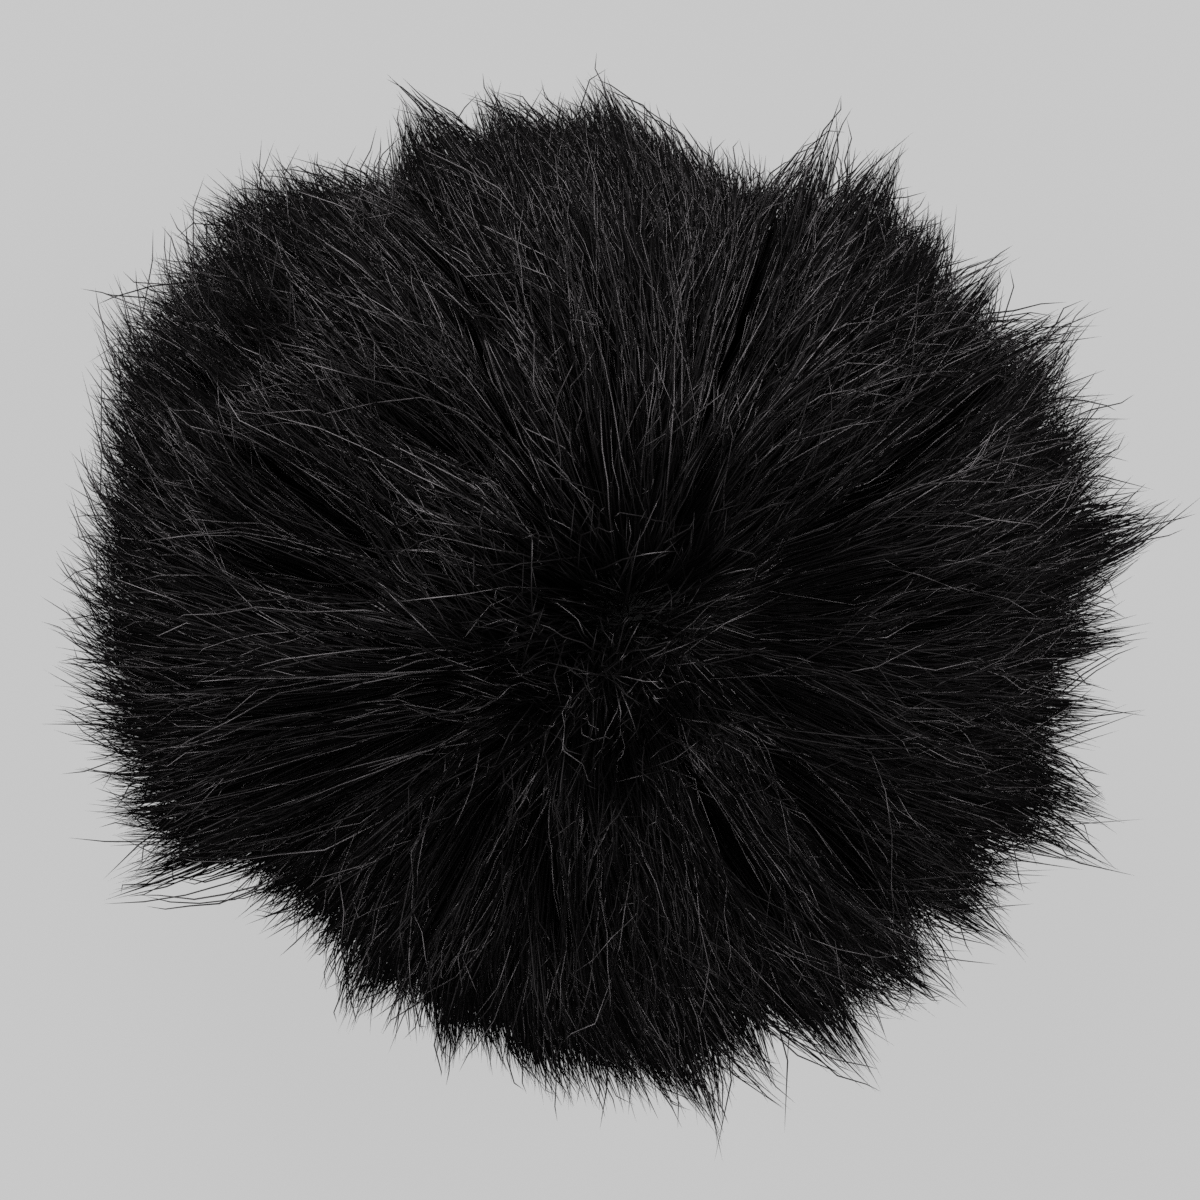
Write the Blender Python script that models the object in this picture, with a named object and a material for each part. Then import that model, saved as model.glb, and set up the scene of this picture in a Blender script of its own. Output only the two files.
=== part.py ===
"""A black long-pile fur pom pom, about 120 mm wide, lying on its gathered back with its face up.

It is one disc of fur cloth, gathered round a stuffing. The backing is a ball drawn in to a small flat
seat, and locks of pile are fused to it at their roots. The pile parts near the top of the ball, lies
over outwards from that parting, and levels out where it meets the surface that the pom pom lies on.

The spiky form is first made on a unit ball, where a point's direction says where on the cloth its pile
grows and its height above the ball says how far along the pile it is, from 0 at the root to 1 at the
longest tip. pile_points() then bends the whole form into place at once, so no two locks can cross.
Metres, +Z up. Seen from above, +X is right and +Y is up, and bearings turn from +X towards +Y.
"""

import random
from collections import namedtuple

import bmesh
import bpy
import numpy as np
from mathutils import Matrix

# The stuffed ball and its seat
BALL_HEIGHT = 0.040  # of the ball's centre above the surface
BALL_RADIUS = 0.028
BALL_HALF_HEIGHT = 0.026
SEAT_RADIUS = 0.0105  # of the flat spot that it lies on
CENTRE = np.array([0.0, 0.0, BALL_HEIGHT])

# The pile
PILE_ABOVE_CENTRE = 0.0475  # the highest tips, above the ball's centre
DOME_POWER = 2.15  # 2 is an ellipsoid over the ball's centre
SKIRT_POWER = 4.6  # more is fuller, down to the surface
SKIRT_DEPTH = 0.0445  # the lowest pile's own reach below the ball's centre, were it not held up
PRESSED_DEPTH = 0.0035  # pile lower than this is pressed together by the surface
PRESSED_FLAT = 0.0005  # and this much of it lies quite flat
PRESSED_FROM = 0.15  # along its length, so that the roots stay on the backing
PARTING_START = (0.0040, -0.0045, 0.042)  # from the ball's centre
PARTING_END = (-0.0062, -0.0195, 0.040)
BEND_POWER = 1.3  # how late along its length the pile leans over
SKIRT_STARTS_DEG = -8.0  # pile lower than this is held up by the surface
SKIRT_SOFTNESS_DEG = 46.0

FLAT_BEARING_DEG = 110.0  # the side on which the pile lies flat
FLAT_POWER = 1.8  # how narrow that side is
Lean = namedtuple("Lean", "root_deg flat_deg full_deg")
LEANS = (  # how far the pile lies over, by its root's angle from the parting, on the flat and the full side
    Lean(0, 0, 0),
    Lean(15, 17, 10),
    Lean(30, 27, 15),
    Lean(50, 28, 17),
    Lean(70, 23, 15),
    Lean(90, 14, 12),
    Lean(115, 5, 5),
    Lean(140, 0, 0),
    Lean(180, 0, 0),
)

Reach = namedtuple("Reach", "bearing_deg reach_mm")
OUTLINE = (  # how far the pile's tips reach from the middle, seen from above
    Reach(0, 56.5),
    Reach(15, 57.0),
    Reach(27, 58.0),
    Reach(36, 54.5),
    Reach(43, 53.5),
    Reach(52, 56.5),
    Reach(60, 53.5),
    Reach(68, 52.0),
    Reach(76, 51.0),
    Reach(88, 55.5),
    Reach(100, 56.5),
    Reach(118, 55.0),
    Reach(128, 61.0),
    Reach(150, 62.5),
    Reach(165, 59.0),
    Reach(185, 60.5),
    Reach(205, 60.0),
    Reach(211, 57.5),
    Reach(218, 52.0),
    Reach(232, 51.0),
    Reach(245, 53.0),
    Reach(254, 53.5),
    Reach(268, 57.0),
    Reach(276, 58.0),
    Reach(286, 54.0),
    Reach(293, 54.0),
    Reach(303, 56.0),
    Reach(314, 53.0),
    Reach(330, 58.5),
    Reach(341, 55.5),
    Reach(350, 55.5),
)

TUFT_PULL = 0.55  # how close to a tuft's point the pile round it is drawn
TUFT_PULL_DEG = 8.0  # how wide round it
Tuft = namedtuple("Tuft", "bearing_deg level_deg reach_mm spread_deg")
TUFTS = (  # where the pile gathers to a point of its own beyond the outline
    Tuft(8, 2, 61.0, 5),
    Tuft(57, 4, 60.5, 4),
    Tuft(64, 6, 60.0, 3),
    Tuft(112, 2, 60.0, 4),
    Tuft(152, 0, 63.0, 5),
    Tuft(211, -6, 61.5, 4),
    Tuft(258, -4, 56.0, 4),
    Tuft(281, 0, 59.5, 4),
    Tuft(297, 0, 59.5, 3),
    Tuft(317, -4, 61.5, 3),
    Tuft(331, 0, 62.5, 4),
)

# The locks
CELLS = 7  # across each side of the cube that is rounded into the ball; each cell grows a lock
SEAT_CELLS = 3  # across the bare seat, in the middle of the cube's underside
CUBE_FACE_DEG = 45.0  # from the middle of the cube's side to its edge
SEAT_DEG = CUBE_FACE_DEG * SEAT_CELLS / CELLS
TWIST_DEG = 29.0  # turns each row of cells by half a cell, so the locks are staggered
CELL_JITTER = 0.22  # of a cell
ROOT_SHARE = 0.84  # of its cell that a lock's root fills
SHORTEST_LOCK = 0.87  # of the pile's reach
LONGEST_LOCK = 1.04
TIP_JITTER_DEG = 2.2

Ring = namedtuple("Ring", "height share")
RINGS = (  # a lock's sections above its root: how far along it, and how much of its cell it fills
    Ring(0.34, 0.89),
    Ring(0.63, 0.73),
    Ring(0.85, 0.40),
)
TIP_HEIGHT = 1.0
ROOT_INSET = 0.01  # for the cut only, before the root is set to its share of the cell
CHANCE_SEED = 7

FUR_COLOUR = (0.012, 0.0115, 0.012, 1.0)
FUR_ROUGHNESS = 0.5


def unit(vectors):
    return vectors / np.linalg.norm(vectors, axis=-1, keepdims=True)


def heading(bearing_deg, level_deg):
    """The direction at this bearing, this far above the horizontal."""
    bearing, level = np.radians(bearing_deg), np.radians(level_deg)
    out = np.cos(level)
    return np.stack([out * np.cos(bearing), out * np.sin(bearing), np.sin(level)], axis=-1)


def from_table(angles, rows, column=1, period=None):
    """A column of a table, read at these angles of its first column."""
    table = np.array(rows, float)
    return np.interp(angles, table[:, 0], table[:, column], period=period)


def backing_points(directions):
    """The stuffed ball, drawn in below to the rim of its seat. The seat itself is flat at z = 0."""
    x, y, z = directions.T
    scale = 1 / np.sqrt((x**2 + y**2) / BALL_RADIUS**2 + z**2 / BALL_HALF_HEIGHT**2)
    ball = CENTRE + directions * scale[:, None]
    # Angles from straight down are taken along the cube's sides, so the seat's rim is one angle.
    from_down = np.degrees(np.arctan2(np.maximum(abs(x), abs(y)), -z))
    out = SEAT_RADIUS * np.minimum(from_down / SEAT_DEG, 1)
    bearing = np.arctan2(y, x)
    seat = np.stack([out * np.cos(bearing), out * np.sin(bearing), np.zeros(len(x))], axis=1)
    drawn = np.clip((from_down - SEAT_DEG) / (CUBE_FACE_DEG - SEAT_DEG), 0, 1)[:, None]
    return seat * (1 - drawn) + ball * drawn


def combed(directions):
    """Where the pile that grows at each direction ends up pointing."""
    start, end = unit(np.array([PARTING_START, PARTING_END]))
    along = np.clip((directions - start) @ (end - start) / np.sum((end - start) ** 2), 0, 1)
    nearest = unit(start + along[:, None] * (end - start))
    cosine = np.sum(directions * nearest, axis=1)
    away = directions - cosine[:, None] * nearest
    away /= np.maximum(np.linalg.norm(away, axis=1, keepdims=True), 1e-9)
    angle = np.degrees(np.arccos(np.clip(cosine, -1, 1)))
    flatness = (0.5 + 0.5 * (away @ heading(FLAT_BEARING_DEG, 0))) ** FLAT_POWER
    added = from_table(angle, LEANS, 1) * flatness + from_table(angle, LEANS, 2) * (1 - flatness)
    leaned = np.radians(angle + added)[:, None]
    turned = nearest * np.cos(leaned) + away * np.sin(leaned)
    for tuft in TUFTS:
        point = heading(tuft.bearing_deg, tuft.level_deg)
        off = np.degrees(np.arccos(np.clip(turned @ point, -1, 1)))
        pull = TUFT_PULL * np.exp(-((off / TUFT_PULL_DEG) ** 2))
        turned = unit(turned + pull[:, None] * (point - turned))
    # The surface holds the lowest pile up, so it spreads outwards.
    level = np.degrees(np.arcsin(np.clip(turned[:, 2], -1, 1)))
    below = np.minimum(level - SKIRT_STARTS_DEG, 0)
    held = SKIRT_STARTS_DEG - SKIRT_SOFTNESS_DEG * (1 - np.exp(below / SKIRT_SOFTNESS_DEG))
    bearing = np.degrees(np.arctan2(turned[:, 1], turned[:, 0]))
    return heading(bearing, np.where(below < 0, held, level))


def reach(directions):
    """How far from the ball's centre the longest pile reaches, by the way it points."""
    bearing = np.degrees(np.arctan2(directions[:, 1], directions[:, 0])) % 360
    level = np.degrees(np.arcsin(np.clip(directions[:, 2], -1, 1)))
    outline = from_table(bearing, OUTLINE, period=360)
    for tuft in TUFTS:
        turn = (bearing - tuft.bearing_deg + 180) % 360 - 180
        off = (turn / tuft.spread_deg) ** 2 + ((level - tuft.level_deg) / (2 * tuft.spread_deg)) ** 2
        outline += np.maximum(tuft.reach_mm - outline, 0) * np.exp(-off)
    outline /= 1000
    flat = np.linalg.norm(directions[:, :2], axis=1) / outline
    up = np.maximum(directions[:, 2], 0) / PILE_ABOVE_CENTRE
    down = np.maximum(-directions[:, 2], 0) / SKIRT_DEPTH
    dome = (flat**DOME_POWER + up**DOME_POWER) ** (-1 / DOME_POWER)
    skirt = (flat**SKIRT_POWER + down**SKIRT_POWER) ** (-1 / SKIRT_POWER)
    return np.where(directions[:, 2] > 0, dome, skirt)


def pressed_heights(z, share):
    """Low pile is pressed together where it meets the surface, and the lowest locks rest level on it."""
    low = np.minimum(z, PRESSED_DEPTH)
    pressed = PRESSED_DEPTH * np.exp(low / PRESSED_DEPTH - 1)
    flat = np.clip(1 - low / PRESSED_DEPTH, 0, 1) * PRESSED_FLAT
    held = np.where(z < PRESSED_DEPTH, pressed - flat, z)
    return np.maximum(z * (1 - share) + held * share, 0)


def pile_points(directions, heights):
    """The place of each point of the pile, from the direction and height of its root and its own."""
    root = backing_points(directions) - CENTRE
    root_reach = np.linalg.norm(root, axis=1)
    end = combed(directions)
    bend = (np.clip(heights, 0, None) ** BEND_POWER)[:, None]
    towards = unit(unit(root) * (1 - bend) + end * bend)
    distance = root_reach + (reach(end) - root_reach) * heights
    points = CENTRE + towards * distance[:, None]
    points[:, 2] = pressed_heights(points[:, 2], np.clip(heights / PRESSED_FROM, 0, 1))
    return points


def rounded_cube():
    """A cube with CELLS cells across each side, moved out to the unit ball at even angles and twisted."""
    form = bmesh.new()
    bmesh.ops.create_cube(form, size=2)
    bmesh.ops.subdivide_edges(form, edges=form.edges[:], cuts=CELLS - 1, use_grid_fill=True)
    for vertex in form.verts:
        vertex.co = [np.tan(np.radians(CUBE_FACE_DEG) * c) for c in vertex.co]
        vertex.co.normalize()
        # The twist starts above the seat, whose cells keep their square.
        twist = np.radians(TWIST_DEG) * max(vertex.co.z + np.cos(np.radians(2 * SEAT_DEG)), 0)
        vertex.co.rotate(Matrix.Rotation(twist, 3, "Z"))
    return form


def is_seat(face):
    middle = face.calc_center_median()
    from_down = np.degrees(np.arctan2(max(abs(middle.x), abs(middle.y)), -middle.z))
    return from_down < SEAT_DEG


def set_section(face, middle, share, height, cell):
    """Moves a lock's section to its height above the unit ball, filling its share of the cell."""
    for vertex, corner in zip(face.verts, cell):
        vertex.co = middle.lerp(corner, share).normalized() * (1 + height)


def grow_lock(form, face, chance):
    """One lock: a root inset in its cell, sections pushed out from it in turn, and a point at the end."""
    cell = [vertex.co.copy() for vertex in face.verts]
    middle = face.calc_center_median().normalized()
    length = chance.uniform(SHORTEST_LOCK, LONGEST_LOCK)
    bmesh.ops.inset_individual(form, faces=[face], thickness=ROOT_INSET)
    set_section(face, middle, ROOT_SHARE, 0, cell)
    for ring in RINGS:
        face = bmesh.ops.extrude_discrete_faces(form, faces=[face])["faces"][0]
        set_section(face, middle, ring.share, ring.height * length, cell)
    tip = bmesh.ops.poke(form, faces=[face])["verts"][0]
    sway = np.radians(TIP_JITTER_DEG)
    tip.co = middle
    for axis in range(3):
        tip.co[axis] += chance.uniform(-sway, sway)
    tip.co = tip.co.normalized() * (1 + TIP_HEIGHT * length)


def spiky_form():
    """The backing and its locks on the unit ball. The seat's cells stay bare."""
    chance = random.Random(CHANCE_SEED)
    form = rounded_cube()
    cell_size = 2 * np.radians(CUBE_FACE_DEG) / CELLS
    seat = [face for face in form.faces if is_seat(face)]
    seat_verts = {vertex for face in seat for vertex in face.verts}
    for vertex in form.verts:
        shift = [chance.uniform(-1, 1) * CELL_JITTER * cell_size for axis in range(3)]
        if vertex not in seat_verts:
            vertex.co = [c + s for c, s in zip(vertex.co, shift)]
            vertex.co.normalize()
    for face in [face for face in form.faces if face not in seat]:
        grow_lock(form, face, chance)
    return form


def bend_into_place(form):
    places = np.array([vertex.co for vertex in form.verts])
    size = np.linalg.norm(places, axis=1)
    # Faces between the locks' roots are at height 0, and so is the seat.
    for vertex, point in zip(form.verts, pile_points(places / size[:, None], size - 1)):
        vertex.co = point


def fur_material():
    fur = bpy.data.materials.new("black_fur")
    fur.use_nodes = True
    shader = fur.node_tree.nodes["Principled BSDF"]
    shader.inputs["Base Color"].default_value = FUR_COLOUR
    shader.inputs["Roughness"].default_value = FUR_ROUGHNESS
    fur.diffuse_color = FUR_COLOUR
    return fur


def make_pompom(collection):
    form = spiky_form()
    bend_into_place(form)
    bmesh.ops.recalc_face_normals(form, faces=form.faces[:])
    mesh = bpy.data.meshes.new("pompom")
    form.to_mesh(mesh)
    form.free()
    mesh.materials.append(fur_material())
    pompom = bpy.data.objects.new("pompom", mesh)
    collection.objects.link(pompom)
    return pompom


def main():
    for old in list(bpy.data.objects):
        bpy.data.objects.remove(old, do_unlink=True)
    collection = bpy.data.collections.new("fur_pompom")
    bpy.context.scene.collection.children.link(collection)
    make_pompom(collection)


main()
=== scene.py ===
"""The looks of the fur pom pom: its pile as single fibres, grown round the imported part.

The fibres follow the same design as the part's locks of pile: they part on the face, fall off it to
all sides and gather to tufts at the rim. Directions are from the ball's centre, and a height says how
far along the pile a point is, from 0 at the root to 1 at the longest tip. Metres, +Z up. Seen from
above, +X is right and +Y is up, and a bearing is counted from +X towards +Y.
"""

from collections import namedtuple

import bmesh
import bpy
import numpy as np
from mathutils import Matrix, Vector


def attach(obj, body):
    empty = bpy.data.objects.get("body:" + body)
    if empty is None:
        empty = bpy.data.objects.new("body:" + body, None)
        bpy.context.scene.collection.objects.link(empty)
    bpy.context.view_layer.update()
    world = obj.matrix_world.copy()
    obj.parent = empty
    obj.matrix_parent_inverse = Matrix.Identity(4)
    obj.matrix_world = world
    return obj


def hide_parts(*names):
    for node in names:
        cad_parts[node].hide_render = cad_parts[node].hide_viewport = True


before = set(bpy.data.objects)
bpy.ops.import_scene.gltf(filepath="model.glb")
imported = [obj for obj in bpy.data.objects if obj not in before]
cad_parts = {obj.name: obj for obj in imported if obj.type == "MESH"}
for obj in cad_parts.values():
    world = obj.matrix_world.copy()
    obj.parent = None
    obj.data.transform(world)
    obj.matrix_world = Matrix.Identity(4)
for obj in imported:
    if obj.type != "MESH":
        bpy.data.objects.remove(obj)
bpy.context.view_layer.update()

# The stuffed ball, and the flat seat that it lies on
BALL_HEIGHT = 0.040  # of the ball's centre above the surface
BALL_RADIUS = 0.028
BALL_HALF_HEIGHT = 0.026
CENTRE = np.array([0.0, 0.0, BALL_HEIGHT])
SEAT_RADIUS = 0.0105
SEAT_DEG = 135 / 7  # from straight down to the seat's rim
DRAWN_DEG = 45.0  # and to where the ball is its full shape

# How far the pile reaches above and below the ball's centre, and how square its outline is there
PILE_ABOVE_CENTRE = 0.0475
DOME_POWER = 2.15
SKIRT_DEPTH = 0.0445
SKIRT_POWER = 4.6
# The lowest pile is held up off the seat.
SKIRT_STARTS_DEG = -8.0
SKIRT_SOFTNESS_DEG = 46.0
# Near the surface it is pressed together.
PRESSED_DEPTH = 0.0035
PRESSED_FLAT = 0.0005  # more, right at the surface
PRESSED_FROM = 0.15  # of the pile's height, above which a fibre is pressed in full
LOWEST = 0.00002  # place of any fibre's points above the surface

# The parting on the face, from the ball's centre
PARTING_START = (0.0050, -0.0048, 0.042)
PARTING_END = (-0.0063, -0.0168, 0.040)
# How much more the pile leans near it, as a share: it stands at the start and fans out at the end.
START_LEAN = -0.2
END_LEAN = 0.35
PARTING_SPREAD_DEG = 42.0
# How far the pile leans away from the parting, on the side where it is full and where it lies flat
FLAT_BEARING_DEG = 110.0
FLAT_POWER = 1.8
Lean = namedtuple("Lean", "root_deg flat_deg full_deg")
LEANS = (
    Lean(0, 0, 0),
    Lean(4, 6, 4),
    Lean(8, 13, 8),
    Lean(15, 28, 14),
    Lean(30, 41, 17),
    Lean(50, 36, 17),
    Lean(70, 27, 15),
    Lean(90, 16, 12),
    Lean(115, 5, 5),
    Lean(140, 0, 0),
    Lean(180, 0, 0),
)

# How a fibre bends over and how it rises, as powers of the height. On the full side of the face it
# bends early and rises late, so its tip stands out. On the flat side it rises early and then lies over.
Growth = namedtuple("Growth", "bend_power rise_power")
FULL_GROWTH = Growth(0.9, 1.4)
FLAT_GROWTH = Growth(1.15, 0.7)
RIM_GROWTH = Growth(1.3, 0.9)
FACE_LEVEL_DEG = 35.0  # from the rim up to where the pile grows as it does on the face
CURL_POWER = 2.6
RIM_CURL = 0.35  # share of the curl that is left at the rim

# How far the longest pile reaches at the rim
Reach = namedtuple("Reach", "bearing_deg reach_mm")
OUTLINE = (
    Reach(0, 56.0),
    Reach(12, 58.3),
    Reach(24, 59.0),
    Reach(34, 54.5),
    Reach(42, 53.0),
    Reach(52, 55.5),
    Reach(60, 47.0),
    Reach(68, 51.0),
    Reach(78, 51.2),
    Reach(86, 54.3),
    Reach(97, 55.3),
    Reach(107, 51.6),
    Reach(118, 54.0),
    Reach(127, 60.1),
    Reach(134, 62.0),
    Reach(146, 61.8),
    Reach(151, 63.3),
    Reach(157, 61.3),
    Reach(164, 59.8),
    Reach(172, 59.0),
    Reach(180, 60.2),
    Reach(192, 60.8),
    Reach(204, 62.0),
    Reach(208, 58.5),
    Reach(216, 51.8),
    Reach(222, 52.8),
    Reach(230, 50.8),
    Reach(238, 53.8),
    Reach(245, 53.2),
    Reach(254, 52.7),
    Reach(267, 58.3),
    Reach(274, 58.2),
    Reach(280, 58.3),
    Reach(285, 54.3),
    Reach(292, 52.2),
    Reach(302, 56.7),
    Reach(310, 59.2),
    Reach(315, 50.0),
    Reach(323, 58.2),
    Reach(334, 57.5),
    Reach(341, 57.0),
    Reach(349, 55.7),
)

# Broad tufts, which the pile round them is pulled towards
TUFT_PULL = 0.55
TUFT_PULL_DEG = 8.0
TUFT_TALLNESS = 2  # its spread up and down, for each degree of its spread round
Tuft = namedtuple("Tuft", "bearing_deg level_deg reach_mm spread_deg")
TUFTS = (
    Tuft(8, 2, 60.0, 5),
    Tuft(57, 4, 58.5, 4),
    Tuft(112, 2, 59.0, 4),
    Tuft(152, 0, 63.0, 5),
    Tuft(211, -6, 60.0, 4),
    Tuft(258, -4, 55.0, 4),
    Tuft(281, 0, 58.0, 3),
    Tuft(297, 0, 59.0, 3),
    Tuft(334, 0, 58.5, 4),
)

# Narrow points that the rim's pile gathers to, and openings that it parts at, where the pull is below 0
RIM_LEVEL_DEG = 38.0  # from the rim to where they fade out
RIM_PULL_SPREAD = 1.35  # of the hair that a point gathers, for each degree of its own spread
RimTuft = namedtuple("RimTuft", "bearing_deg reach_mm spread_deg pull")
RIM_TUFTS = (
    RimTuft(8.8, 65.0, 2.8, 0.85),
    RimTuft(18, 61.3, 2.6, 0.5),
    RimTuft(30.5, 62.8, 2.3, 0.8),
    RimTuft(40.3, 59.3, 1.7, 0.7),
    RimTuft(48, 57.5, 2.6, 0.5),
    RimTuft(57.2, 61.0, 1.5, 0.8),
    RimTuft(60.8, 38.0, 1.2, -0.9),
    RimTuft(64.2, 60.5, 1.4, 0.8),
    RimTuft(91.5, 58.0, 2.4, 0.3),
    RimTuft(103.5, 58.3, 2.4, 0.3),
    RimTuft(112, 61.3, 2.0, 0.5),
    RimTuft(150.5, 64.0, 2.1, 0.8),
    RimTuft(192, 62.2, 2.4, 0.6),
    RimTuft(203.4, 63.0, 2.0, 0.7),
    RimTuft(210.6, 66.8, 1.6, 0.88),
    RimTuft(239, 57.0, 2.0, 0.6),
    RimTuft(251.8, 57.0, 1.8, 0.6),
    RimTuft(282.4, 61.0, 1.8, 0.7),
    RimTuft(289.4, 60.4, 1.1, 0.7),
    RimTuft(299.2, 63.8, 1.6, 0.8),
    RimTuft(312.3, 61.0, 1.9, 0.6),
    RimTuft(316.2, 42.0, 1.2, -0.9),
    RimTuft(319.8, 62.5, 0.9, 0.7),
    RimTuft(328.8, 50.0, 1.3, -0.7),
    RimTuft(331.8, 63.8, 1.0, 0.75),
    RimTuft(336.8, 62.0, 2.0, 0.7),
    RimTuft(347.8, 60.0, 1.6, 0.7),
    RimTuft(356.6, 60.6, 1.8, 0.7),
)

# How far the tips are combed round at the rim
Swirl = namedtuple("Swirl", "bearing_deg turn_deg")
SWIRLS = (
    Swirl(0, 4),
    Swirl(25, 3),
    Swirl(40, 1),
    Swirl(62, 0),
    Swirl(76, 5),
    Swirl(92, 2),
    Swirl(120, 0),
    Swirl(150, -2),
    Swirl(170, -5),
    Swirl(200, -4),
    Swirl(212, 0),
    Swirl(228, 4),
    Swirl(243, 10),
    Swirl(275, 11),
    Swirl(284, 4),
    Swirl(296, 0),
    Swirl(335, 1),
    Swirl(348, 4),
)

# Where the pile parts and sinks between two ridges, from end to end as seen from above
Valley = namedtuple("Valley", "x0_mm y0_mm x1_mm y1_mm width_mm sink_mm")
VALLEYS = (
    Valley(-13.6, 14.6, -21.4, 18.4, 2.0, 10.5),
    Valley(-27.5, 2.0, -36.8, 3.7, 2.6, 10.5),
    Valley(-26.9, 7.1, -34.3, 13.3, 3.2, 10.5),
    Valley(-18.3, -9.4, -34.8, -11.9, 1.8, 6),
    Valley(-19.9, -14.7, -34.0, -18.6, 3.6, 12),
    Valley(-13.0, -22.2, -16.1, -29.4, 2.6, 7.5),
    Valley(-6.5, -26.2, -5.1, -34.4, 1.8, 6),
    Valley(10.9, -22.1, 16.0, -31.0, 3.0, 9),
    Valley(18.3, -17.5, 26.4, -29.3, 3.0, 10.5),
    Valley(9.1, 2.6, 9.5, 12.5, 1.1, 6),
    Valley(12.9, 24.5, 18.2, 39.7, 2.0, 9),
    Valley(21.2, 5.8, 40.7, 22.2, 2.8, 9),
    Valley(0.2, 12.5, -0.3, 26.5, 0.8, 2.25),
    Valley(-6.9, 8.5, -14.6, 30.7, 1.3, 4.5),
    Valley(-12.5, 29.7, -21.5, 39.0, 1.5, 6),
    Valley(-36.9, 26.8, -40.8, 31.5, 1.8, 6),
    Valley(-41.7, 22.3, -49.3, 27.8, 1.8, 6),
    Valley(19.2, -0.8, 28.8, 1.7, 2.4, 9),
    Valley(31.9, -3.1, 38.8, -0.6, 1.5, 6),
    Valley(12.7, -4.8, 20.7, -1.1, 3.0, 9),
    Valley(13.5, -9.5, 22.0, -12.0, 3.6, 10.5),
    Valley(8.3, -10.2, 1.4, -16.6, 2.2, 7.5),
    Valley(0.4, -0.8, -5.5, 1.1, 1.5, 6),
    Valley(-8.4, -11.7, -17.3, -10.2, 2.0, 7.5),
)
SIDED_HEIGHT = 0.7  # of the section whose side of a valley the whole fibre takes
# How far the fibres are pushed off a valley's middle, in its widths
NEAREST_EDGE = 0.15
FARTHEST_EDGE = 1.3
VALLEY_END = 1.5  # the softness of its ends and of its sunk sides, in its widths
VALLEY_SLOPE = 2.2
VALLEY_POWER = 0.7  # of the height, which the push grows with
# A valley is in the pile over the face: it starts at this height above the surface.
VALLEY_BOTTOM = 0.030
VALLEY_FADE = 0.015

# How much of the sleek, bright hair lies on top, by bearing. This is painted light: more of the glossy,
# lighter hair on the upper side paints it brighter, and less on the lower side paints it darker.
Sheen = namedtuple("Sheen", "bearing_deg share")
PAINTED_SHEENS = (
    Sheen(0, 0.45),
    Sheen(25, 0.55),
    Sheen(50, 0.95),
    Sheen(75, 1.0),
    Sheen(130, 1.0),
    Sheen(160, 0.75),
    Sheen(185, 0.58),
    Sheen(205, 0.40),
    Sheen(240, 0.33),
    Sheen(270, 0.42),
    Sheen(310, 0.36),
    Sheen(340, 0.36),
)
DULLEST_LOCK = 0.45  # its share of the bright hair that its bearing has

# Where the fibres grow
BARE_DEG = 1.2 * SEAT_DEG  # from straight down to the first of them
THIN_DEG = 60.0  # and to where they are at their full density
THINNEST = 0.4  # share of that density
ROOT_JITTER = 0.5  # of the spacing

# Neighbouring fibres share small turns and lengths: those of the nearest swathe, lock and clump.
SWATHES = 60
LOCKS = 560
CLUMPS = 2800
LOCK_JITTER = 0.45  # of a swathe's or a lock's spacing
CLUMP_JITTER = 0.5
SWATHE_CURL_DEG = 4.5
LOCK_CURL_DEG = 4.0
CLUMP_CURL_DEG = 2.0
CLUMP_LEAN_DEG = 2.0
CALM_DEG = 40.0  # from the parting to where swathes and locks curl freely
FARTHEST_TURN = 2  # that a random turn may be, in its usual sizes
LOCK_LENGTHS = (0.90, 1.04)
CLUMP_LENGTHS = (0.94, 1.04)
GATHER_POWER = 0.9  # of the height, which the gathering grows with
HOOK_POWER = 3  # the higher, the fewer tips are hooked far

# The seeds of the random choices: for every fibre, for the groups and for the locks' sheen
FIBRE_SEED = 5
GROUP_SEED = 11
SHEEN_SEED = 12
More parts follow.
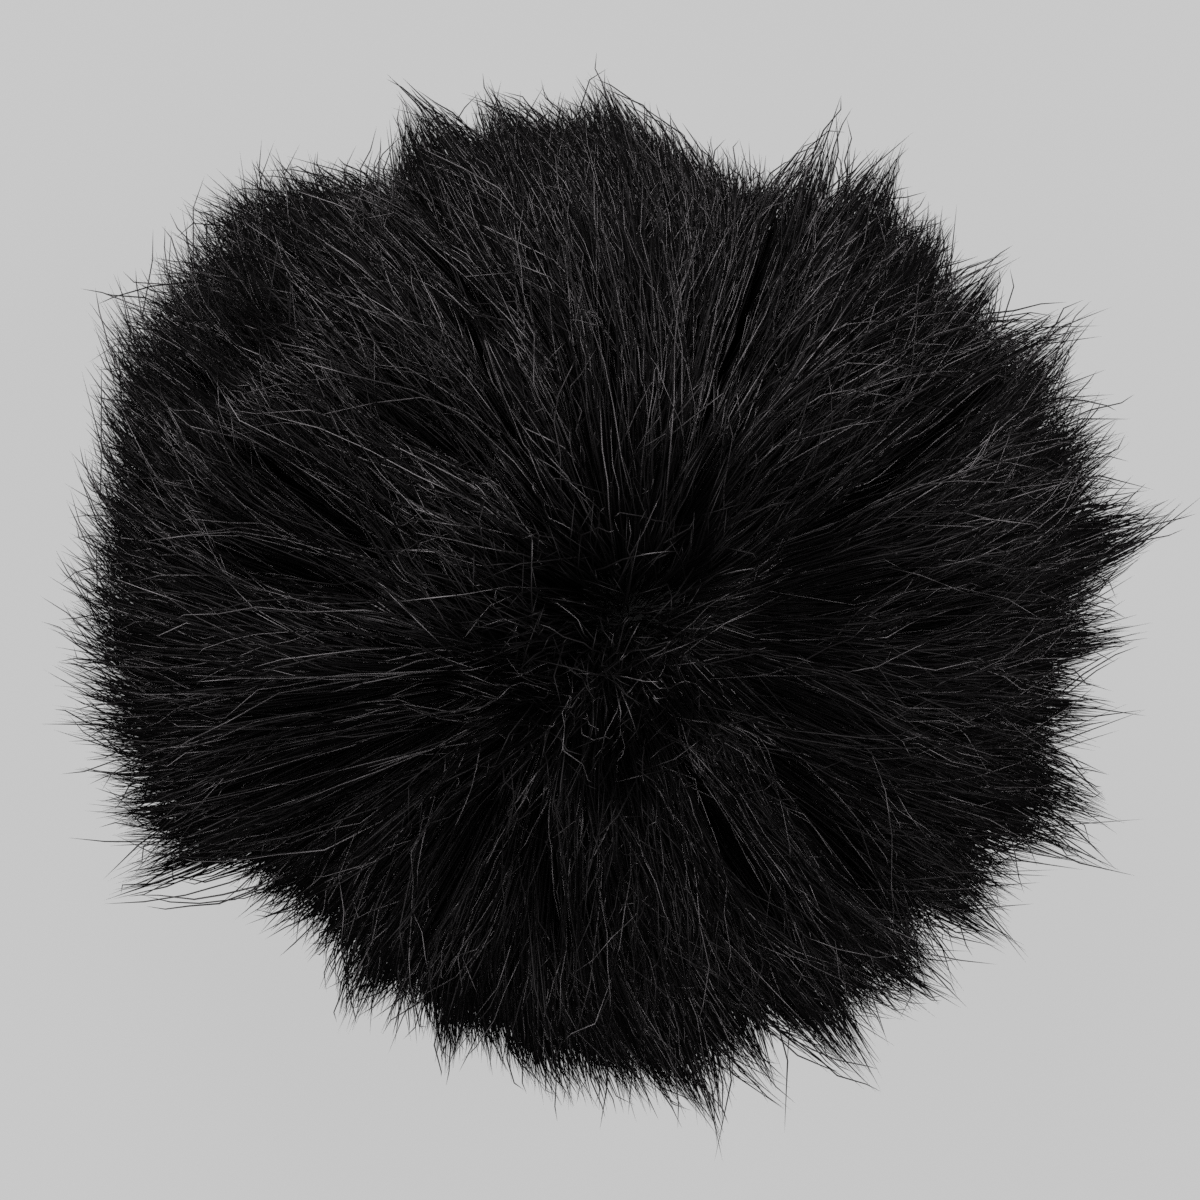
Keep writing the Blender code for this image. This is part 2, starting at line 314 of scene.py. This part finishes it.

# The coats. A length is a share of the pile's reach, a gather says how far the tips are drawn to the
# middle of their lock or clump, and sheen says how far the painted sheen by bearing thins the coat,
# which paints the upper side lighter and the lower side darker.
# A coat with a patch grows only there.
Patch = namedtuple("Patch", "bearing_deg bearing_spread_deg level_spread_deg")
Coat = namedtuple(
    "Coat",
    "name look count pieces width_mm shortest longest lock_gather clump_gather"
    " lean_deg curl_deg kink_mm hook_mm sheen sections patch",
)
COATS = (
    Coat(
        name="underfur",
        look="underfur",
        count=31000,
        pieces=3,
        width_mm=0.15,
        shortest=0.78,
        longest=0.97,
        lock_gather=0.30,
        clump_gather=0.45,
        lean_deg=2.5,
        curl_deg=2.0,
        kink_mm=0.10,
        hook_mm=0.0,
        sheen=0.0,
        sections=(0, 0.72, 1),
        patch=None,
    ),
    Coat(
        name="guard_hair",
        look="guard_hair",
        count=25500,
        pieces=3,
        width_mm=0.17,
        shortest=0.80,
        longest=1.01,
        lock_gather=0.30,
        clump_gather=0.40,
        lean_deg=3.0,
        curl_deg=8.0,
        kink_mm=0.30,
        hook_mm=0.0,
        sheen=0.5,
        sections=(0, 0.55, 0.82, 1),
        patch=None,
    ),
    Coat(
        name="bright_hair",
        look="bright_hair",
        count=28000,
        pieces=3,
        width_mm=0.17,
        shortest=0.74,
        longest=1.02,
        lock_gather=0.30,
        clump_gather=0.25,
        lean_deg=3.5,
        curl_deg=12.0,
        kink_mm=0.34,
        hook_mm=0.10,
        sheen=1.0,
        sections=(0, 0.5, 0.66, 0.77, 0.86, 0.94, 1),
        patch=None,
    ),
    Coat(
        name="stray",
        look="guard_hair",
        count=120,
        pieces=1,
        width_mm=0.14,
        shortest=0.90,
        longest=1.10,
        lock_gather=0.0,
        clump_gather=0.0,
        lean_deg=6.0,
        curl_deg=6.0,
        kink_mm=0.15,
        hook_mm=0.1,
        sheen=0.0,
        sections=(0, 0.3, 0.5, 0.62, 0.74, 0.84, 0.93, 1),
        patch=None,
    ),
    # Loose hair, which crosses the opening in the rim at the lower left
    Coat(
        name="loose_hair",
        look="guard_hair",
        count=4500,
        pieces=1,
        width_mm=0.14,
        shortest=0.90,
        longest=1.12,
        lock_gather=0.0,
        clump_gather=0.0,
        lean_deg=8.0,
        curl_deg=16.0,
        kink_mm=0.20,
        hook_mm=0.1,
        sheen=0.0,
        sections=(0, 0.4, 0.55, 0.68, 0.8, 0.9, 1),
        patch=Patch(227.0, 9.0, 30.0),
    ),
)

# A fibre is a tube of three sides, a little wider than its width to look as wide as a round one.
SIDES = 3
SIDES_GAIN = 1.15
Taper = namedtuple("Taper", "height width")
TAPERS = (
    Taper(0, 0.8),
    Taper(0.5, 1),
    Taper(0.75, 0.95),
    Taper(0.92, 0.75),
    Taper(1, 0),
)
# Its place on the map of tones: one of so many columns, with margins at its sides and ends
TONES = 128
COLUMN_MARGIN = 0.15
END_MARGIN = 0.02

# The hair's surface: most hairs are near the dark colour, with random tones towards the light one, and
# only the last of each tip is light, as a painted glint.
Look = namedtuple("Look", "name dark light roughness specular")
LOOKS = (
    Look("underfur", (0.001, 0.0009, 0.001, 1), (0.008, 0.0075, 0.008, 1), 0.7, 0.12),
    Look("guard_hair", (0.001, 0.0009, 0.001, 1), (0.012, 0.011, 0.0115, 1), 0.5, 0.3),
    Look("bright_hair", (0.002, 0.0018, 0.0019, 1), (0.03, 0.027, 0.0285, 1), 0.34, 1.0),
)
SPECULAR_TINT = (1, 0.94, 0.97, 1)
REFRACTION = 1.5
TONE_POWER = 3
# The higher this power, the shorter the painted glint at each hair's tip.
PAINTED_GLINT_POWER = 40

# The backing cloth
BACKING_SUBDIVISIONS = 4
BACKING_DARK = (0.004, 0.004, 0.004, 1)
BACKING_LIGHT = (0.009, 0.009, 0.009, 1)
BACKING_ROUGHNESS = 0.9
BACKING_GRAIN = 900

# The studio
WHITE = (1, 1, 1, 1)
FLOOR_SIZE = 6
FLOOR_COLOUR = (0.03, 0.03, 0.03, 1)
FLOOR_GLOW = 0.545
WORLD_GLOW = 0.02
Light = namedtuple("Light", "name place watts")
LIGHTS = (
    Light("upper", (-0.20, 1.05, 0.72), 12.8),
    Light("right", (0.75, 0.10, 1.00), 9.0),
    Light("left", (-0.75, 0.10, 1.00), 5.0),
    Light("lower", (0.10, -0.75, 1.00), 2.5),
)
LIGHT_SIZE = 0.60
CAMERA_PLACE = (-0.00055, -0.00033, 0.46)
CAMERA_LENS_MM = 114.5
CAMERA_SENSOR_MM = 36


def unit(vectors):
    return vectors / np.linalg.norm(vectors, axis=-1, keepdims=True)


def blend(first, second, share):
    return first + (second - first) * share


def near(distance, spread):
    """1 at no distance, falling smoothly to about a third at the spread."""
    return np.exp(-((distance / spread) ** 2))


def heading(bearing_deg, level_deg):
    """The direction at this bearing, this far above the horizontal."""
    bearing, level = np.radians(bearing_deg), np.radians(level_deg)
    out = np.cos(level)
    return np.stack([out * np.cos(bearing), out * np.sin(bearing), np.sin(level)], axis=-1)


def bearings(directions):
    return np.degrees(np.arctan2(directions[:, 1], directions[:, 0]))


def levels(directions):
    """How far above the horizontal each direction points, in degrees."""
    return np.degrees(np.arcsin(np.clip(directions[:, 2], -1, 1)))


def angles(cosines):
    """The angles that have these cosines, in degrees."""
    return np.degrees(np.arccos(np.clip(cosines, -1, 1)))


def turns(bearing_deg, middle_deg):
    """How far round from the middle a bearing is, from -180 to 180 degrees."""
    return (bearing_deg - middle_deg + 180) % 360 - 180


def from_table(places, rows, column=1, period=None):
    """A column of a table, read at these places of its first column."""
    table = np.array(rows, float)
    return np.interp(places, table[:, 0], table[:, column], period=period)


def backing_points(directions):
    """The stuffed ball, drawn in below to the rim of its seat."""
    x, y, z = directions.T
    scale = 1 / np.sqrt((x**2 + y**2) / BALL_RADIUS**2 + z**2 / BALL_HALF_HEIGHT**2)
    ball = CENTRE + directions * scale[:, None]
    from_down = np.degrees(np.arctan2(np.maximum(abs(x), abs(y)), -z))
    out = SEAT_RADIUS * np.minimum(from_down / SEAT_DEG, 1)
    bearing = np.arctan2(y, x)
    seat = np.stack([out * np.cos(bearing), out * np.sin(bearing), np.zeros(len(x))], axis=1)
    drawn = np.clip((from_down - SEAT_DEG) / (DRAWN_DEG - SEAT_DEG), 0, 1)[:, None]
    return seat * (1 - drawn) + ball * drawn


def from_parting(directions):
    """The nearest place on the parting, how far along it is, the angle to it and the way off it."""
    start, end = unit(np.array([PARTING_START, PARTING_END]))
    along = np.clip((directions - start) @ (end - start) / np.sum((end - start) ** 2), 0, 1)
    nearest = unit(start + along[:, None] * (end - start))
    cosine = np.sum(directions * nearest, axis=1)
    away = directions - cosine[:, None] * nearest
    away /= np.maximum(np.linalg.norm(away, axis=1, keepdims=True), 1e-9)
    return nearest, along, angles(cosine), away


def flatness(away):
    """How much the pile that leads this way off the parting lies flat, from 0 to 1."""
    return (0.5 + 0.5 * (away @ heading(FLAT_BEARING_DEG, 0))) ** FLAT_POWER


def leaned(directions):
    """Each direction, leaned away from the parting."""
    nearest, along, angle, away = from_parting(directions)
    flatter = flatness(away)
    more = blend(START_LEAN, END_LEAN, along) * near(angle, PARTING_SPREAD_DEG)
    full = from_table(angle, LEANS, 2) * (1 + more)
    added = from_table(angle, LEANS, 1) * flatter + full * (1 - flatter)
    lean = np.radians(angle + added)[:, None]
    return nearest * np.cos(lean) + away * np.sin(lean)


def held_up(level):
    """The level of the lowest pile, which is held up off the seat."""
    below = np.minimum(level - SKIRT_STARTS_DEG, 0)
    held = SKIRT_STARTS_DEG - SKIRT_SOFTNESS_DEG * (1 - np.exp(below / SKIRT_SOFTNESS_DEG))
    return np.where(below < 0, held, level)


def combed(directions):
    """Where the pile that grows at each direction ends up pointing."""
    turned = leaned(directions)
    for tuft in TUFTS:
        point = heading(tuft.bearing_deg, tuft.level_deg)
        pull = TUFT_PULL * near(angles(turned @ point), TUFT_PULL_DEG)
        turned = unit(turned + pull[:, None] * (point - turned))
    level = held_up(levels(turned))
    bearing = bearings(turned)
    low = near(level, RIM_LEVEL_DEG)
    bearing += from_table(bearing, SWIRLS, period=360) * low
    for tuft in RIM_TUFTS:
        turn = turns(bearing, tuft.bearing_deg)
        gathered = near(turn, RIM_PULL_SPREAD * tuft.spread_deg) * low
        bearing -= tuft.pull * gathered * turn
    return heading(bearing, level)


def reach(directions):
    """How far from the ball's centre the longest pile reaches, by the way it points."""
    bearing = bearings(directions) % 360
    level = levels(directions)
    outline = from_table(bearing, OUTLINE, period=360)
    for tuft in TUFTS:
        across = turns(bearing, tuft.bearing_deg) / tuft.spread_deg
        above = (level - tuft.level_deg) / (TUFT_TALLNESS * tuft.spread_deg)
        outline += np.maximum(tuft.reach_mm - outline, 0) * np.exp(-(across**2 + above**2))
    for tuft in RIM_TUFTS:
        across = turns(bearing, tuft.bearing_deg) / tuft.spread_deg
        outline += (tuft.reach_mm - outline) * np.exp(-(across**2) - (level / RIM_LEVEL_DEG) ** 2)
    outline /= 1000
    flat = np.linalg.norm(directions[:, :2], axis=1) / outline
    up = np.maximum(directions[:, 2], 0) / PILE_ABOVE_CENTRE
    down = np.maximum(-directions[:, 2], 0) / SKIRT_DEPTH
    dome = (flat**DOME_POWER + up**DOME_POWER) ** (-1 / DOME_POWER)
    skirt = (flat**SKIRT_POWER + down**SKIRT_POWER) ** (-1 / SKIRT_POWER)
    return np.where(directions[:, 2] > 0, dome, skirt)


def pressed_heights(z, share):
    """Low pile is pressed together where it meets the surface."""
    low = np.minimum(z, PRESSED_DEPTH)
    pressed = PRESSED_DEPTH * np.exp(low / PRESSED_DEPTH - 1)
    flat = np.clip(1 - low / PRESSED_DEPTH, 0, 1) * PRESSED_FLAT
    held = np.where(z < PRESSED_DEPTH, pressed - flat, z)
    return np.maximum(z * (1 - share) + held * share, 0)


def pile_points(directions, heights, lean, curl):
    """The place of each point of the pile, from its root's direction and its own height."""
    root = backing_points(directions) - CENTRE
    root_reach = np.linalg.norm(root, axis=1)
    end = combed(directions)
    face = np.clip(end[:, 2] / np.sin(np.radians(FACE_LEVEL_DEG)), 0, 1)
    flat = flatness(from_parting(directions)[3])
    face_bend = blend(FULL_GROWTH.bend_power, FLAT_GROWTH.bend_power, flat)
    face_rise = blend(FULL_GROWTH.rise_power, FLAT_GROWTH.rise_power, flat)
    along = np.clip(heights, 0, None)
    bend = (along ** blend(RIM_GROWTH.bend_power, face_bend, face))[:, None]
    rise = along ** blend(RIM_GROWTH.rise_power, face_rise, face)
    curl = curl * blend(RIM_CURL, 1, face)[:, None]
    along = along[:, None]
    strayed = lean * along + curl * along**CURL_POWER
    towards = unit(unit(root) * (1 - bend) + end * bend + strayed)
    distance = root_reach + (reach(unit(end + lean + curl)) - root_reach) * rise
    points = CENTRE + towards * distance[:, None]
    points[:, 2] = pressed_heights(points[:, 2], np.clip(heights / PRESSED_FROM, 0, 1))
    return points


def scattered(count, jitter, chance):
    """Directions spread evenly over the ball, each moved at random by a share of their spacing."""
    index = np.arange(count) + 0.5
    z = 1 - 2 * index / count
    bearing = index * np.pi * (1 + np.sqrt(5))
    out = np.sqrt(1 - z**2)
    even = np.stack([out * np.cos(bearing), out * np.sin(bearing), z], axis=1)
    spacing = np.sqrt(4 * np.pi / count)
    return unit(even + chance.uniform(-1, 1, even.shape) * jitter * spacing)


def nearest_of(directions, centres):
    """The index of the centre that each direction is nearest to, found a batch at a time."""
    batch = 4000
    found = np.empty(len(directions), int)
    for start in range(0, len(directions), batch):
        part = slice(start, start + batch)
        found[part] = np.argmax(directions[part] @ centres.T, axis=1)
    return found


def wander(count, spread_deg, chance):
    """Small random turns, none of them far out of the common."""
    usual = np.clip(chance.normal(0, 1, (count, 3)), -FARTHEST_TURN, FARTHEST_TURN)
    return usual * np.radians(spread_deg)


def parted(lines, heights, chance):
    """The fibres near a valley, pushed to their own side of it and sunk towards it."""
    sided = np.argmin(abs(heights - SIDED_HEIGHT))
    # Each fibre keeps its own distance, so a valley's sides are ragged.
    spread = chance.uniform(NEAREST_EDGE, FARTHEST_EDGE, (len(lines), 1))
    for valley in VALLEYS:
        start = np.array([valley.x0_mm, valley.y0_mm]) / 1000
        end = np.array([valley.x1_mm, valley.y1_mm]) / 1000
        width = valley.width_mm / 1000
        length = np.linalg.norm(end - start)
        along = (end - start) / length
        across = np.array([-along[1], along[0]])
        u = (lines[:, :, :2] - start) @ along
        v = (lines[:, :, :2] - start) @ across
        side = np.where(v[:, sided] > 0, 1, -1)[:, None]
        own = v * side
        beyond = np.maximum(np.maximum(-u, u - length), 0)
        share = near(beyond, VALLEY_END * width) * heights**VALLEY_POWER
        share = share * np.clip((lines[:, :, 2] - VALLEY_BOTTOM) / VALLEY_FADE, 0, 1)
        edge = width * spread
        moved = np.where(own > 0, own + edge * np.exp(-own / edge), edge)
        push = (moved - own) * share * side
        lines[:, :, :2] += push[:, :, None] * across
        lines[:, :, 2] -= valley.sink_mm / 1000 * share * near(moved, VALLEY_SLOPE * width)
    return lines


def in_patch(roots, patch):
    beside = abs(turns(bearings(roots), patch.bearing_deg)) < patch.bearing_spread_deg
    return beside & (abs(levels(roots)) < patch.level_spread_deg)


def grown_roots(coat, locks, chance):
    """The directions that a coat's fibres grow at, thinned below, by their lock's sheen and by painted
    light: more bright hair on the upper side, less on the lower.
    """
    roots = scattered(coat.count, ROOT_JITTER, chance)
    from_down = angles(-roots[:, 2])
    dense = np.clip(from_down / THIN_DEG, THINNEST, 1)
    keep = (from_down > BARE_DEG) & (chance.random(len(roots)) < dense)
    if coat.patch:
        keep &= in_patch(roots, coat.patch)
    brightness = np.random.default_rng(SHEEN_SEED).uniform(DULLEST_LOCK, 1, len(locks))
    # Painted light: the bright hair is thinned by bearing so that the upper side looks lit and the
    # lower side shaded, and each lock keeps a random share of it.
    bright = from_table(bearings(roots), PAINTED_SHEENS, period=360) * brightness[nearest_of(roots, locks)]
    return roots[keep & (chance.random(len(roots)) < 1 - coat.sheen * (1 - bright))]


def spines(coat, chance):
    """The middle lines of a coat's fibres, as fibres by sections by xyz, and their roots."""
    shared = np.random.default_rng(GROUP_SEED)
    swathes = scattered(SWATHES, LOCK_JITTER, shared)
    locks = scattered(LOCKS, LOCK_JITTER, shared)
    clumps = scattered(CLUMPS, CLUMP_JITTER, shared)
    roots = grown_roots(coat, locks, chance)
    swathe, lock, clump = (nearest_of(roots, centres) for centres in (swathes, locks, clumps))
    free = np.clip(from_parting(roots)[2] / CALM_DEG, 0, 1)[:, None]
    swathe_curl = wander(SWATHES, SWATHE_CURL_DEG, shared)[swathe]
    lock_curl = wander(LOCKS, LOCK_CURL_DEG, shared)[lock]
    clump_curl = wander(CLUMPS, CLUMP_CURL_DEG, shared)[clump]
    own_curl = wander(len(roots), coat.curl_deg, chance)
    curl = (swathe_curl + lock_curl) * free + (clump_curl + own_curl)
    clump_lean = wander(CLUMPS, CLUMP_LEAN_DEG, shared)[clump]
    lean = clump_lean + wander(len(roots), coat.lean_deg, chance)
    length = chance.uniform(coat.shortest, coat.longest, len(roots))
    length *= shared.uniform(*LOCK_LENGTHS, LOCKS)[lock] * shared.uniform(*CLUMP_LENGTHS, CLUMPS)[clump]
    to_middle = coat.lock_gather * (locks[lock] - roots) + coat.clump_gather * (clumps[clump] - roots)
    heights = np.array(coat.sections)
    places = []
    for height in heights:
        gathered = unit(roots + height**GATHER_POWER * to_middle)
        points = pile_points(gathered, height * length, lean, curl)
        points += chance.normal(0, coat.kink_mm / 1000, points.shape) * height
        places.append(points)
    hooked = chance.random((len(roots), 1)) ** HOOK_POWER * coat.hook_mm / 1000
    places[-1] += hooked * unit(chance.normal(0, 1, (len(roots), 3)))
    return parted(np.stack(places, axis=1), heights, chance), roots


def tube_points(lines, heights, width, rolls):
    """The points of a tube round each line, ring by ring, with one point at its tip."""
    along = unit(np.gradient(lines, axis=1))
    side = unit(np.cross(along[:, 0], np.roll(along[:, 0], 1, axis=1)))[:, None]
    across = unit(side - np.sum(side * along, axis=2, keepdims=True) * along)
    over = np.cross(along, across)
    radius = width / 2 * SIDES_GAIN * from_table(heights, TAPERS)
    rings = []
    for k in range(SIDES):
        turn = (2 * np.pi * k / SIDES + rolls)[:, None, None]
        out = across * np.cos(turn) + over * np.sin(turn)
        rings.append(lines + out * radius[None, :, None])
    rings = np.stack(rings, axis=2)[:, :-1]
    points = np.concatenate([rings.reshape(len(lines), -1, 3), lines[:, -1:]], axis=1)
    points[:, :, 2] = np.maximum(points[:, :, 2], LOWEST)
    return points


def tube_faces(sections):
    """One tube's faces, and where each of their corners is on it, as sides round and sections along."""
    faces, places = [], []
    last = sections - 2
    for band in range(last):
        low, high = band * SIDES, (band + 1) * SIDES
        for k in range(SIDES):
            after = (k + 1) % SIDES
            faces.append((low + k, low + after, high + after, high + k))
            places += [(k, band), (k + 1, band), (k + 1, band + 1), (k, band + 1)]
    for k in range(SIDES):
        faces.append((last * SIDES + k, last * SIDES + (k + 1) % SIDES, (last + 1) * SIDES))
        places += [(k, last), (k + 1, last), (k + 0.5, last + 1)]
    return faces, np.array(places, float)


def tube_mesh(name, lines, heights, width, tones, rolls):
    """Tubes that taper to a point, one round each line, as one mesh with a map of tones."""
    points = tube_points(lines, heights, width, rolls)
    faces, places = tube_faces(len(heights))
    corners = np.concatenate(faces)
    corners = (corners[None] + np.arange(len(lines))[:, None] * points.shape[1]).ravel()
    sizes = np.tile([len(face) for face in faces], len(lines))
    starts = np.concatenate([[0], np.cumsum(sizes)[:-1]])
    round_it = COLUMN_MARGIN + (1 - 2 * COLUMN_MARGIN) * places[None, :, 0] / SIDES
    along_it = np.interp(places[None, :, 1], np.arange(len(heights)), heights)
    u = (tones / TONES)[:, None] + round_it / TONES
    v = np.broadcast_to(END_MARGIN + (1 - 2 * END_MARGIN) * along_it, u.shape)
    mesh = bpy.data.meshes.new(name)
    mesh.vertices.add(points.shape[0] * points.shape[1])
    mesh.vertices.foreach_set("co", points.astype(np.float32).ravel())
    mesh.loops.add(len(corners))
    mesh.loops.foreach_set("vertex_index", corners.astype(np.int32))
    mesh.polygons.add(len(sizes))
    mesh.polygons.foreach_set("loop_start", starts.astype(np.int32))
    mesh.polygons.foreach_set("loop_total", sizes.astype(np.int32))
    mesh.update(calc_edges=True)
    layer = mesh.uv_layers.new(name="OFBake")
    layer.data.foreach_set("uv", np.stack([u, v], axis=2).astype(np.float32).ravel())
    mesh.validate()
    return mesh


def add_piece(mesh, material):
    """Every piece rides on the one body and stands for its one node."""
    piece = bpy.data.objects.new(mesh.name, mesh)
    bpy.context.scene.collection.objects.link(piece)
    mesh.materials.append(material)
    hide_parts("pompom")
    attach(piece, "root")
    return piece


def fur_material(look):
    """Hair with a tone of its own for each column of the map, and a tip painted light as a glint."""
    fur = bpy.data.materials.new(look.name)
    fur.use_nodes = True
    nodes, links = fur.node_tree.nodes, fur.node_tree.links
    shader = nodes["Principled BSDF"]
    shader.inputs["Roughness"].default_value = look.roughness
    shader.inputs["IOR"].default_value = REFRACTION
    shader.inputs["Specular IOR Level"].default_value = look.specular
    shader.inputs["Specular Tint"].default_value = SPECULAR_TINT

    def maths(operation, first, second=None):
        node = nodes.new("ShaderNodeMath")
        node.operation = operation
        for socket, value in zip(node.inputs, (first, second)):
            if isinstance(value, (int, float)):
                socket.default_value = value
            elif value is not None:
                links.new(value, socket)
        return node.outputs[0]

    place = nodes.new("ShaderNodeUVMap")
    place.uv_map = "OFBake"
    split = nodes.new("ShaderNodeSeparateXYZ")
    links.new(place.outputs["UV"], split.inputs[0])
    column = maths("FLOOR", maths("MULTIPLY", split.outputs["X"], TONES))
    chance = nodes.new("ShaderNodeTexWhiteNoise")
    chance.noise_dimensions = "1D"
    links.new(column, chance.inputs["W"])
    tone = maths("MULTIPLY", maths("POWER", chance.outputs["Value"], TONE_POWER), split.outputs["Y"])
    # The last of each tip is painted light: a painted glint on the tip.
    tip = maths("POWER", split.outputs["Y"], PAINTED_GLINT_POWER)
    shade = nodes.new("ShaderNodeMix")
    shade.data_type = "RGBA"
    shade.inputs["A"].default_value = look.dark
    shade.inputs["B"].default_value = look.light
    links.new(maths("MAXIMUM", tone, tip), shade.inputs["Factor"])
    links.new(shade.outputs["Result"], shader.inputs["Base Color"])
    return fur


def make_pile():
    """Each coat, in pieces that are sectors round the ball."""
    chance = np.random.default_rng(FIBRE_SEED)
    materials = {look.name: fur_material(look) for look in LOOKS}
    for coat in COATS:
        lines, roots = spines(coat, chance)
        tones = chance.integers(0, TONES, len(lines))
        rolls = chance.uniform(0, 2 * np.pi, len(lines))
        bearing = np.arctan2(roots[:, 1], roots[:, 0])
        sector = ((bearing / (2 * np.pi) + 0.5) * coat.pieces).astype(int) % coat.pieces
        heights = np.array(coat.sections)
        for k in range(coat.pieces):
            mine = sector == k
            name = f"{coat.name}_{k + 1}"
            mesh = tube_mesh(name, lines[mine], heights, coat.width_mm / 1000, tones[mine], rolls[mine])
            add_piece(mesh, materials[coat.look])


def backing_material():
    cloth = bpy.data.materials.new("backing_cloth")
    cloth.use_nodes = True
    nodes, links = cloth.node_tree.nodes, cloth.node_tree.links
    shader = nodes["Principled BSDF"]
    shader.inputs["Roughness"].default_value = BACKING_ROUGHNESS
    noise = nodes.new("ShaderNodeTexNoise")
    noise.inputs["Scale"].default_value = BACKING_GRAIN
    ramp = nodes.new("ShaderNodeValToRGB")
    ramp.color_ramp.elements[0].color = BACKING_DARK
    ramp.color_ramp.elements[1].color = BACKING_LIGHT
    links.new(noise.outputs["Fac"], ramp.inputs["Fac"])
    links.new(ramp.outputs["Color"], shader.inputs["Base Color"])
    return cloth


def make_backing():
    """The stuffed ball of cloth that the pile grows from."""
    form = bmesh.new()
    bmesh.ops.create_icosphere(form, subdivisions=BACKING_SUBDIVISIONS, radius=1)
    places = np.array([vertex.co for vertex in form.verts])
    for vertex, point in zip(form.verts, backing_points(unit(places))):
        vertex.co = point
    mesh = bpy.data.meshes.new("backing")
    form.to_mesh(mesh)
    form.free()
    mesh.polygons.foreach_set("use_smooth", np.ones(len(mesh.polygons), bool))
    add_piece(mesh, backing_material())


def make_world(scene):
    world = bpy.data.worlds.new("studio")
    world.use_nodes = True
    background = world.node_tree.nodes["Background"]
    background.inputs["Color"].default_value = WHITE
    background.inputs["Strength"].default_value = WORLD_GLOW
    scene.world = world


def make_floor():
    """A plain pale floor that glows evenly, and adds nothing to the light on the fur."""
    bpy.ops.mesh.primitive_plane_add(size=FLOOR_SIZE, location=(0, 0, 0))
    floor = bpy.context.object
    floor.name = "floor"
    floor.visible_glossy = False
    floor.visible_diffuse = False
    pale = bpy.data.materials.new("floor_pale")
    pale.use_nodes = True
    shader = pale.node_tree.nodes["Principled BSDF"]
    shader.inputs["Base Color"].default_value = FLOOR_COLOUR
    shader.inputs["Roughness"].default_value = 1
    shader.inputs["Specular IOR Level"].default_value = 0
    shader.inputs["Emission Color"].default_value = WHITE
    shader.inputs["Emission Strength"].default_value = FLOOR_GLOW
    pale.cycles.emission_sampling = "NONE"
    floor.data.materials.append(pale)


def make_lights(scene):
    for light in LIGHTS:
        data = bpy.data.lights.new(light.name, "AREA")
        data.shape = "SQUARE"
        data.size = LIGHT_SIZE
        data.energy = light.watts
        lamp = bpy.data.objects.new(light.name, data)
        scene.collection.objects.link(lamp)
        lamp.location = light.place
        aim = Vector(CENTRE) - Vector(light.place)
        lamp.rotation_euler = aim.to_track_quat("-Z", "Y").to_euler()


def make_camera(scene):
    """Straight above the face, looking down."""
    data = bpy.data.cameras.new("camera")
    data.sensor_width = CAMERA_SENSOR_MM
    data.lens = CAMERA_LENS_MM
    camera = bpy.data.objects.new("camera", data)
    scene.collection.objects.link(camera)
    camera.location = CAMERA_PLACE
    scene.camera = camera


def make_studio():
    scene = bpy.context.scene
    make_world(scene)
    make_floor()
    make_lights(scene)
    make_camera(scene)
    scene.view_settings.view_transform = "Standard"
    # Denoising would smear the single hairs, and fur so dark has next to no bounced light.
    scene.cycles.use_denoising = False
    scene.cycles.max_bounces = 0
    # Long thin triangles are found sooner with their space split.
    scene.cycles.debug_use_spatial_splits = True


make_pile()
make_backing()
make_studio()
